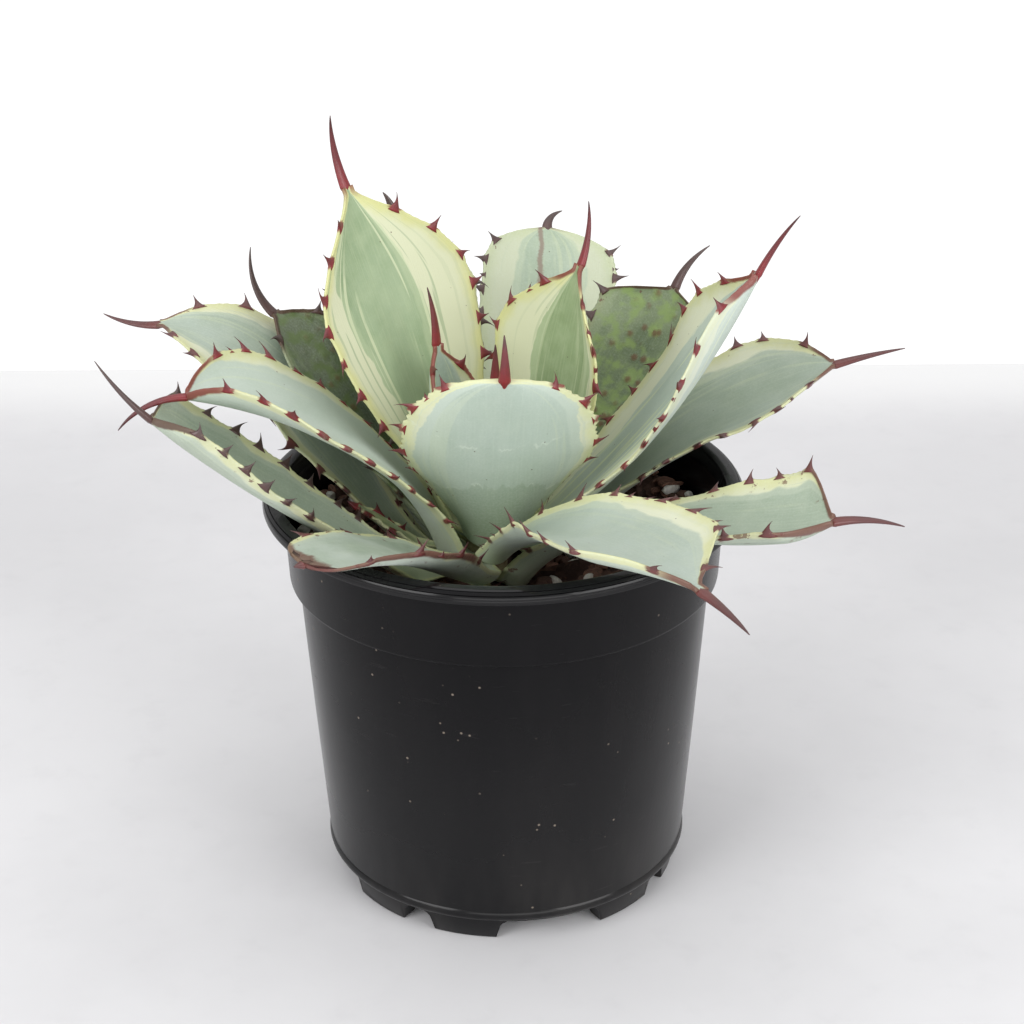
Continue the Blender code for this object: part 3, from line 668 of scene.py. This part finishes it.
looks = {
    "leaf_inner_bud": dict(inner, margin=(0.7, 0.7)),
    "leaf_bud": dict(middle, margin=(0.7, 0.7), rim=0.6, rimWidth=1.4),
    # the front cupped leaf: its dark green foot, reaching far up the leaf, is painted shade where
    # the base curves away from the light, over the base's own deeper green
    "leaf_front_cupped": dict(middle, margin=(0.74, 0.75), bandShare=0.6, rim=0.98, bars=0.3,
        notch=0.5, line=0.7, green=(0.32, 0.40, 0.34), deep=(0.26, 0.34, 0.26),
        foot=(0.13, 0.19, 0.08), footEnd=0.7, footShare=0.75, cream=(0.62, 0.63, 0.33), scallop=1.7,
        prints=((32, 10, 7, 0.24), (50, -6, 5, 0.1))),
    "leaf_tall_striped": dict(fresh, margin=(0.38, 0.64), lean=0.75, band=0.1, bars=0.9,
        barReach=0.3, rim=0.95, barFrom=0.53, bandShare=0.5, creamBars=0.6, line=1.6),
    "leaf_behind_right": dict(fresh, margin=(0.78, 0.38), bars=0.3, rim=0.88, rimWidth=1.6,
        creamBars=0.3, green=(0.23, 0.31, 0.15), deep=(0.17, 0.25, 0.10)),
    "leaf_right_upright": dict(middle, margin=(0.72, 0.6), bars=0.9, barReach=0.7, rim=0.88,
        rimWidth=1.5, bloom=0.4),
    "leaf_hidden_back_left": dict(middle, margin=(0.75, 0.75), paint=greyHorn),
    "leaf_big_left": dict(middle, margin=(0.84, 0.76), bars=0.25, rim=0.88, rimWidth=1.4,
        creamBars=0.2, soft=0.03, green=(0.46, 0.53, 0.46), deep=(0.38, 0.46, 0.38)),
    "leaf_back_broad": dict(outer, margin=(0.56, 0.56), bars=0.3, barReach=0.5, paint=greyHorn,
        damage=0.4, green=(0.37, 0.45, 0.35), deep=(0.31, 0.39, 0.28), pale=(0.46, 0.53, 0.38),
        streak=0.6, cream=(0.50, 0.55, 0.35), creamPale=(0.53, 0.57, 0.41), rim=0.97, creamBars=0.4,
        line=1.2, bandShare=0.5),
    # the two dark leaves wear the painted shade of the dark look; the back left one is shaded
    # darker still
    "leaf_back_right_dark": dict(dark, margin=(0.9, 0.9), warts=0.85, rim=0.84,
        fresh=(0.27, 0.38, 0.12)),
    "leaf_back_left_dark": dict(dark, margin=(0.9, 0.9), warts=0.6, rim=0.84, rimWidth=1.8,
        green=(0.13, 0.16, 0.09), deep=(0.07, 0.10, 0.05), fresh=(0.13, 0.19, 0.06)),
    "leaf_front_right": dict(outer, margin=(0.84, 0.74), bars=0.15, rim=0.88, rimWidth=1.4,
        wave=(2, 0.9), green=(0.40, 0.47, 0.41), deep=(0.34, 0.41, 0.34), creamBars=0.15,
        curl=(2.4, 0)),
    "leaf_right_long": dict(outer, margin=(0.84, 0.74), bars=0.25, barReach=0.5, rim=0.9,
        rimWidth=1.6, creamBars=0.2, wave=(2.5, 0.9)),
    "leaf_left_upper": dict(outer, margin=(0.72, 0.72), bars=0.25, barReach=0.5, rim=0.9,
        rimWidth=1.2, green=(0.38, 0.45, 0.38), wave=(3, 0.9)),
    "leaf_front_left_short": dict(outer, margin=(0.9, 0.84), rim=0.25, rimWidth=1.8, torn=0.06,
        end=(0.93, 0.9), small=3, damage=0.5, bars=0.1, green=(0.47, 0.53, 0.47), curl=(0, 4.2),
        rimSide=1.0),
    "leaf_left_low": dict(outer, margin=(0.86, 0.74), rim=0.88, rimWidth=1.3, paint=greyHorn,
        bars=0.2, horn=(0.08, 0.034, 0.03), green=(0.33, 0.39, 0.29), curl=(0, 1.5)),
    "leaf_right_low": dict(outer, margin=(0.84, 0.8), rim=0.86, rimWidth=1.7, wave=(2.2, 1.4),
        damage=0.5, bars=0.2, green=(0.32, 0.39, 0.30), curl=(2.2, 0)),
    "leaf_hidden_back": dict(outer, margin=(0.7, 0.7)),
    "leaf_hidden_back_right": dict(outer, margin=(0.7, 0.7)),
    "leaf_hidden_far_left": dict(outer, margin=(0.7, 0.7)),
    "leaf_front_low": dict(outer, margin=(0.5, 0.5), small=4),
    "leaf_small_left": dict(inner, margin=(0.9, 0.9), green=(0.40, 0.46, 0.18),
        pale=(0.5, 0.54, 0.25), small=2),
}

for number, leaf in enumerate(leaves):
    look = dict(looks[leaf["name"]], length=leaf["length"])
    skin = bladePaint(leaf["name"] + "_skin", look, number + 1)
    leafPiece(leaf, 40 + number, [skin, look["paint"]])
print("leaves done")

# pot: ribs are the arcs of the rolled lip between its fine grooves, and gaps the middle and
# width, in degrees, of the openings that repeat four times round the foot

pot = dict(rim=82.5, bandTop=75.6, bandBottom=74.3, step=113.8, bodyTop=71.3, bodyBottom=63.6,
           wall=1.6, under=6.0, floor=9.5, lip=(79.3, 142.1), lipSize=3.25, grooveSize=2.95,
           ribs=((78, 62), (56, 36), (30, 4)), footIn=52.0, footOut=61.6, turns=192,
           gaps=((14.7, 32.2), (59.7, 8.4)), gapHeight=7.6, gapFlare=4.6, gapArch=3.4,
           archFrom=0.72, archSquare=0.0784, cutRadius=71.0)


def around(radius, angle, height):
    return potAxis + Vector((radius * math.cos(angle), radius * math.sin(angle), height))


def spun(bm, outline, steps):
    last = len(outline) - 1
    made = gridVerts(bm, steps, last)
    for vert in made:
        radius, height = outline[round((vert.co.y + 1) / 2 * last)]
        vert.co = around(radius, math.pi * (vert.co.x + 1), height) * mm
    bmesh.ops.remove_doubles(bm, verts=made, dist=1e-7)


def arc(radius, height, size, first, last, parts):
    points = []
    for index in range(parts + 1):
        angle = math.radians(first + (last - first) * index / parts)
        points.append((radius + size * math.cos(angle), height + size * math.sin(angle)))
    return points


def footGaps():
    bm = bmesh.new()
    for turn in range(4):
        for centre, gap in pot["gaps"]:
            made = gridVerts(bm, 16, 9)
            faces = {face for vert in made for face in vert.link_faces}
            for vert in made:
                up = (vert.co.y + 1) / 2
                arch = pot["gapArch"] * max(0.0, up - pot["archFrom"]) ** 2 / pot["archSquare"]
                spread = gap + pot["gapFlare"] * (1 - up) - arch
                angle = math.radians(centre + 90 * turn + vert.co.x * spread / 2)
                height = -1 + (pot["gapHeight"] + 1) * min(1.0, up)
                vert.co = around(pot["footIn"] - 1.3, angle, height) * mm
            grown = bmesh.ops.extrude_face_region(bm, geom=list(faces))["geom"]
            for item in grown:
                if isinstance(item, bmesh.types.BMVert):
                    level = item.co.copy() / mm - potAxis
                    stretch = pot["cutRadius"] / math.hypot(level.x, level.y)
                    level = Vector((level.x * stretch, level.y * stretch, level.z))
                    item.co = (potAxis + level) * mm
    bmesh.ops.recalc_face_normals(bm, faces=bm.faces[:])
    return addMesh("gaps", bm)


def potOutline():
    # from the middle of the floor up the inside, over the lip and down to the foot
    floor, step, under = pot["floor"], pot["step"], pot["under"]
    bodyTop, bodyBottom, bandBottom = pot["bodyTop"], pot["bodyBottom"], pot["bandBottom"]
    footIn, footOut = pot["footIn"], pot["footOut"]
    inBody, inBand = bodyTop - pot["wall"], bandBottom - pot["wall"]
    outline = [(0.02, floor), (40, floor), (60.6, floor + 0.05), (61.6, floor + 0.9), (64.6, 50)]
    outline += [(inBody, step - 1.4), (inBody + 0.5, step - 0.4), (inBand - 0.4, step + 0.6)]
    outline += [(inBand, step + 1.4), (pot["bandTop"] - pot["wall"], 139.0)]
    outline += [(75.0, 141.2), (75.9, 143.4)] + arc(77.9, 143.6, 1.8, 175, 80, 6)
    for first, last in pot["ribs"]:
        outline += arc(*pot["lip"], pot["lipSize"], first, last, 3)
        outline += arc(*pot["lip"], pot["grooveSize"], last - 3, last - 3, 1)[:1]
    outline += [(pot["rim"], 141.4), (82.3, 140.8), (81.4, 140.3), (78.4, 140.0), (76.2, 139.9)]
    outline += [(75.75, 139.5), (pot["bandTop"], 138.6), (bandBottom + 0.1, step + 1.4)]
    outline += arc(bandBottom - 1.0, step + 1.2, 1.05, 0, -80, 4)
    outline += [(bodyTop + 0.35, step + 0.1), (bodyTop + 0.1, step - 0.4)]
    outline += [(bodyTop - 0.1, step - 2.0), (67.6, 60), (bodyBottom + 0.6, 15)]
    outline += arc(bodyBottom - 1.7, 10.9, 2.6, 40, -40, 5)
    outline += [(footOut + 0.5, 8.0), (footOut + 0.1, 6.6), (footOut - 0.7, 0.5)]
    outline += [(footOut - 1.2, 0.0), (footIn + 3.0, 0.0), (footIn + 2.5, 0.5)]
    outline += [(footIn + 0.1, under - 0.3)]
    return outline + [(footIn - 0.6, under), (0.02, under)]


def potPiece(material):
    bm = bmesh.new()
    spun(bm, potOutline(), pot["turns"])
    closeHoles(bm)
    piece = makePiece("pot_fine", bm, [material])
    cutter = footGaps()
    cut = piece.modifiers.new("gaps", "BOOLEAN")
    cut.operation = "DIFFERENCE"
    cut.solver = "EXACT"
    cut.object = cutter
    graph = bpy.context.evaluated_depsgraph_get()
    mesh = bpy.data.meshes.new_from_object(piece.evaluated_get(graph))
    piece.modifiers.clear()
    piece.data = mesh
    bpy.data.objects.remove(cutter, do_unlink=True)
    mesh.set_sharp_from_angle(angle=math.radians(38))
    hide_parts("pot")


plastic = dict(black=(0.0045, 0.0043, 0.005), film=(0.010, 0.009, 0.0095), dust=(0.07, 0.065, 0.06),
               scuff=(0.06, 0.055, 0.055), speck=(0.3, 0.25, 0.2))


def potPaint():
    paint = Paint("pot_plastic", Specular_IOR_Level=0.06, Coat_Roughness=0.14)
    place = paint.place()
    x, y, z = paint.split(place)
    cloud = paint.noise(place, 9.0, 3)
    film = paint.noise(paint.join(x * 26.0, y * 26.0, z * 7.0), 1.0, 5, 0.6)
    speck = 1.0 - paint.cells(place, 210.0).ramp(0.05, 0.12)
    speck = speck * paint.noise(place, 60.0, 2).ramp(0.56, 0.62)
    scuff = paint.noise(paint.join(x * 60.0, y * 60.0, z * 420.0), 1.0, 3, 0.6).ramp(0.66, 0.78)
    low = 1.0 - z.ramp(0.0, 0.05)
    colour = paint.mix(film.ramp(0.4, 0.8) * 0.5, plastic["black"], plastic["film"])
    colour = paint.mix(low * film.ramp(0.35, 0.7) * 0.22, colour, plastic["dust"])
    colour = paint.mix(scuff * (low * 0.5 + 0.1), colour, plastic["scuff"])
    colour = paint.mix(speck * 0.55, colour, plastic["speck"])
    grain = paint.noise(place, 900.0, 2)
    paint.bump(cloud * 6.0 + film * 0.5 + grain * 0.06, 0.25, 0.0011)
    # the gloss is strongest on the foot and the lip
    gloss = 0.42 - z.ramp(0.03, 0.12) * 0.3 + z.ramp(0.1385, 0.1405) * 0.33
    paint.feed(paint.shader.inputs["Coat Weight"], gloss * (0.8 + film * 0.4))
    return paint.finish(colour, 0.2 + film * 0.12 + scuff * 0.2 + speck * 0.3 + low * 0.1)


potPiece(potPaint())
print("pot done")

# soil: a crumbly bed with a well round the crown and a bank against the wall

soil = dict(radius=72.3, edge=112.0, well=107.6, wellRadius=31.0, wellRun=9.0, bank=16.0,
            bankStart=42.0, bankEnd=68.0, bankFront=-52.0, bankFade=24.0, crumb=0.7, topShare=0.9,
            frontTrim=3.1, skirtRadius=69.1, skirtTaper=9.4, skirtDepth=98.0)

# bark chips and perlite: lowWall and highWall are their reach below and above wallStep
litter = dict(radius=70.5, clear=15, lowWall=69.0, highWall=71.8, wallStep=117, cuts=9)


def held(value):
    return min(1.0, max(0.0, value))


def bedHeight(x, y):
    well = held((math.hypot(x - crownX, y - crownY) - soil["wellRadius"]) / soil["wellRun"])
    out = held((math.hypot(x, y) - soil["bankStart"]) / (soil["bankEnd"] - soil["bankStart"]))
    side = held((y - soil["bankFront"]) / soil["bankFade"])
    return soil["well"] + (soil["edge"] - soil["well"]) * well + soil["bank"] * out ** 1.3 * side


def soilPaint():
    paint = Paint("bark_soil_skin")
    place = paint.place()
    tone = paint.split(paint.cells(place, 260.0, "Color"))[0]
    fine = paint.noise(place, 900.0, 4, 0.65)
    colour = paint.mix(tone, (0.055, 0.032, 0.026), (0.15, 0.080, 0.060))
    colour = paint.mix(fine.ramp(0.55, 0.8) * 0.5, colour, (0.24, 0.14, 0.10))
    gap = paint.cells(place, 260.0)
    paint.bump(fine * 0.6 - gap * 0.8, 0.8, 0.0012)
    return paint.finish(colour, 0.82 + fine * 0.15)


def chipPaint():
    paint = Paint("bark_chip")
    x, y, z = paint.split(paint.attribute("chip"))
    layers = paint.noise(paint.join(x * 0.5, y * 2.4, z), 1.0, 4, 0.6)
    fine = paint.noise(paint.place(), 1500.0, 3)
    colour = paint.mix(layers.ramp(0.3, 0.7), (0.09, 0.042, 0.032), (0.30, 0.15, 0.10))
    colour = paint.mix((z * 0.37).wave().ramp(0.2, 0.9) * 0.6, colour, (0.06, 0.036, 0.030))
    colour = paint.mix(fine.ramp(0.6, 0.8) * 0.3, colour, (0.28, 0.17, 0.12))
    paint.bump(layers + fine * 0.3, 0.7, 0.0006)
    return paint.finish(colour, 0.72 + fine * 0.2)


def perlitePaint():
    paint = Paint("perlite")
    place = paint.place()
    cloud = paint.noise(place, 500.0, 4)
    pits = paint.cells(place, 1400.0)
    colour = paint.mix(cloud.ramp(0.35, 0.75), (0.78, 0.76, 0.72), (0.62, 0.57, 0.5))
    colour = paint.mix((1.0 - pits.ramp(0.1, 0.35)) * 0.35, colour, (0.38, 0.32, 0.27))
    paint.bump(pits + cloud, 0.6, 0.0005)
    return paint.finish(colour, 0.8 + cloud * 0.15)


def bedPiece(material):
    rng = random.Random(11)
    topShare = soil["topShare"]
    bm = bmesh.new()
    made = gridVerts(bm, 120, 44)
    for vert in made:
        angle = math.pi * (vert.co.x + 1)
        share = (vert.co.y + 1) / 2
        skirt = max(0.0, (share - topShare) / (1 - topShare))
        trim = min(soil["frontTrim"], max(0.0, -math.sin(angle) - 0.3) * 4.4)
        wide = soil["radius"] - trim
        radius = 0.3 + (wide - 0.3) * min(1.0, share / topShare)
        radius = radius - min(1.0, skirt * 3) * (wide - soil["skirtRadius"])
        radius = radius - soil["skirtTaper"] * skirt
        x = radius * math.cos(angle)
        y = radius * math.sin(angle)
        height = bedHeight(x, y)
        if share > topShare:
            height = (height if skirt < 0.2 else soil["edge"]) - 1 - soil["skirtDepth"] * skirt
        else:
            height += rng.uniform(-soil["crumb"], soil["crumb"])
        vert.co = (potAxis + Vector((x, y, height))) * mm
    bmesh.ops.remove_doubles(bm, verts=made, dist=1e-6)
    closeHoles(bm)
    piece = makePiece("soil_bed", bm, [material], smooth=False)
    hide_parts("soil")


def scatter(name, material, count, seed, sizes, flat, lift):
    rng = random.Random(seed)
    bm = bmesh.new()
    layer = bm.verts.layers.float_vector.new("chip")
    for index in range(count):
        angle = rng.uniform(0, 2 * math.pi)
        radius = litter["radius"] * math.sqrt(rng.uniform(0.0, 1))
        x = radius * math.cos(angle)
        y = radius * math.sin(angle)
        if math.hypot(x - crownX, y - crownY) < litter["clear"]:
            continue
        size = rng.uniform(*sizes)
        made = bmesh.ops.create_icosphere(bm, subdivisions=2, radius=1)["verts"]
        stretch = (rng.uniform(1.0, 1.7), rng.uniform(0.6, 1.0), rng.uniform(*flat))
        spin = Matrix.Rotation(rng.uniform(0, 6.28), 3, "Z")
        turn = spin @ Matrix.Rotation(rng.uniform(-0.6, 0.6), 3, "X")
        cuts = []
        for _ in range(litter["cuts"]):
            way = Vector((rng.gauss(0, 1), rng.gauss(0, 1), rng.gauss(0, 1))).normalized()
            cuts.append((way, rng.uniform(0.55, 0.95)))
        centre = Vector((x, y, bedHeight(x, y) + lift * size + rng.uniform(0, 1.2)))
        wall = litter["highWall"] if centre.z > litter["wallStep"] else litter["lowWall"]
        reach = wall - size * 1.3
        if math.hypot(x, y) > reach:
            centre.x *= reach / math.hypot(x, y)
            centre.y *= reach / math.hypot(x, y)
        for vert in made:
            place = vert.co.copy()
            for way, cap in cuts:
                beyond = place.dot(way) - cap
                if beyond > 0:
                    place -= way * beyond
            vert[layer] = (place.x * size, place.y * size, index * 1.0)
            grain = [part * factor for part, factor in zip(place, stretch)]
            vert.co = (potAxis + centre + turn @ (Vector(grain) * size)) * mm
    piece = makePiece(name, bm, [material], smooth=False)


bedPiece(soilPaint())
scatter("bark_chips", chipPaint(), 760, 21, (1.6, 3.6), (0.35, 0.7), 0.15)
scatter("perlite_grains", perlitePaint(), 240, 34, (1.4, 3.0), (0.8, 1.1), 0.55)
print("soil done")


# the stem keeps its solid and wears a bark skin

def stemPaint():
    paint = Paint("stem_bark")
    place = paint.place()
    x, y, z = paint.split(place)
    cloud = paint.noise(place, 160.0, 4)
    rings = paint.noise(paint.join(x * 60.0, y * 60.0, z * 700.0), 1.0, 4)
    colour = paint.mix(cloud.ramp(0.3, 0.7), (0.34, 0.30, 0.16), (0.18, 0.12, 0.07))
    colour = paint.mix(rings.ramp(0.5, 0.7) * 0.6, colour, (0.11, 0.06, 0.04))
    paint.bump(rings + cloud, 0.6, 0.0006)
    return paint.finish(colour, 0.7 + cloud * 0.2)


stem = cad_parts["stem"]
stem.data.materials.clear()
stem.data.materials.append(stemPaint())
print("stem done")

# floor, in metres: it ends behind the pot, and pales toward that edge as painted light that blends
# it into the bright backdrop

ground = dict(halfWidth=2.6, halfDepth=1.765, middle=-1.3, drop=0.0002, tone=(0.68, 0.675, 0.69),
              light=(0.74, 0.735, 0.75), mottle=(0.62, 0.615, 0.63), far=(0.9, 0.9, 0.9))


def floorPaint():
    paint = Paint("pale_floor", Specular_IOR_Level=0.2)
    place = paint.place()
    cloud = paint.noise(place, 5.0, 5, 0.6)
    fine = paint.noise(place, 60.0, 4, 0.6)
    depth = paint.split(place)[1]
    tone = paint.mix(cloud.ramp(0.3, 0.7), ground["tone"], ground["light"])
    tone = paint.mix(fine.ramp(0.5, 0.8) * 0.25, tone, ground["mottle"])
    # painted light: the floor pales toward its back edge
    tone = paint.mix(depth.ramp(0.38, 0.47) * 0.8, tone, ground["far"])
    paint.bump(fine, 0.1, 0.0006)
    return paint.finish(tone, 0.55 + fine * 0.2)


bm = bmesh.new()
for vert in gridVerts(bm, 1, 1):
    deep = ground["middle"] + vert.co.y * ground["halfDepth"]
    vert.co = Vector((vert.co.x * ground["halfWidth"], deep, -ground["drop"])) + potAxis * mm
addMesh("floor", bm, [floorPaint()])

# light: a white room, seen brighter by the camera than it shines, and four softboxes, each
# with its place, aim, width, height and power

roomLight = 0.58
roomSeen = 1.4
softboxes = dict(overhead=((0.0, 0.35, 1.5), (0, 0, 0.1), 1.8, 1.2, 8),
                 left_bank=((-1.25, -1.15, 0.95), (0, 0, 0.12), 1.1, 1.2, 19),
                 right_bank=((1.25, -1.15, 0.85), (0, 0, 0.12), 1.1, 1.2, 17),
                 front_fill=((0.1, -1.7, 0.35), (0, 0, 0.15), 1.6, 0.5, 5))

world = bpy.data.worlds.new("soft_studio")
bpy.context.scene.world = world
world.use_nodes = True
tree = world.node_tree
ambient = tree.nodes["Background"]
ambient.inputs["Color"].default_value = (1.0, 1.0, 1.0, 1.0)
ambient.inputs["Strength"].default_value = roomLight
backdrop = tree.nodes.new("ShaderNodeBackground")
backdrop.inputs["Strength"].default_value = roomSeen
path = tree.nodes.new("ShaderNodeLightPath")
blend = tree.nodes.new("ShaderNodeMixShader")
cameraRay = path.outputs["Is Camera Ray"]
for index, output in enumerate((cameraRay, ambient.outputs[0], backdrop.outputs[0])):
    tree.links.new(output, blend.inputs[index])
tree.links.new(blend.outputs[0], tree.nodes["World Output"].inputs[0])


def softbox(name, place, aim, width, height, power):
    data = bpy.data.lights.new(name, "AREA")
    data.shape = "RECTANGLE"
    data.size = width
    data.size_y = height
    data.energy = power
    lamp = addObject(name, data)
    lamp.location = place
    lamp.rotation_mode = "QUATERNION"
    lamp.rotation_quaternion = (Vector(aim) - Vector(place)).to_track_quat("-Z", "Y")


for name, box in softboxes.items():
    softbox(name, *box)
bpy.context.scene.view_settings.view_transform = "Standard"
print("floor and light done")

# camera, in metres and degrees: it looks down on its aim from the front

lens = dict(focal=84.375, sensor=36, tilt=25.486, roll=-0.4, aim=(0.00287, 0, 0.13416),
            distance=0.82756)

camera = bpy.data.cameras.new("camera")
camera.lens = lens["focal"]
camera.sensor_width = lens["sensor"]
camera.clip_end = 50
tilt = math.radians(lens["tilt"])
roll = math.radians(lens["roll"])
ahead = Vector((0, math.cos(tilt), -math.sin(tilt)))
level = Vector((1, 0, 0))
square = level.cross(ahead)
right = level * math.cos(roll) + square * math.sin(roll)
upward = square * math.cos(roll) - level * math.sin(roll)
eye = addObject("camera", camera)
rows = Matrix((right, upward, -ahead)).transposed().to_4x4()
rows.translation = potAxis * mm + Vector(lens["aim"]) - ahead * lens["distance"]
eye.matrix_world = rows
bpy.context.scene.camera = eye
print("camera done")
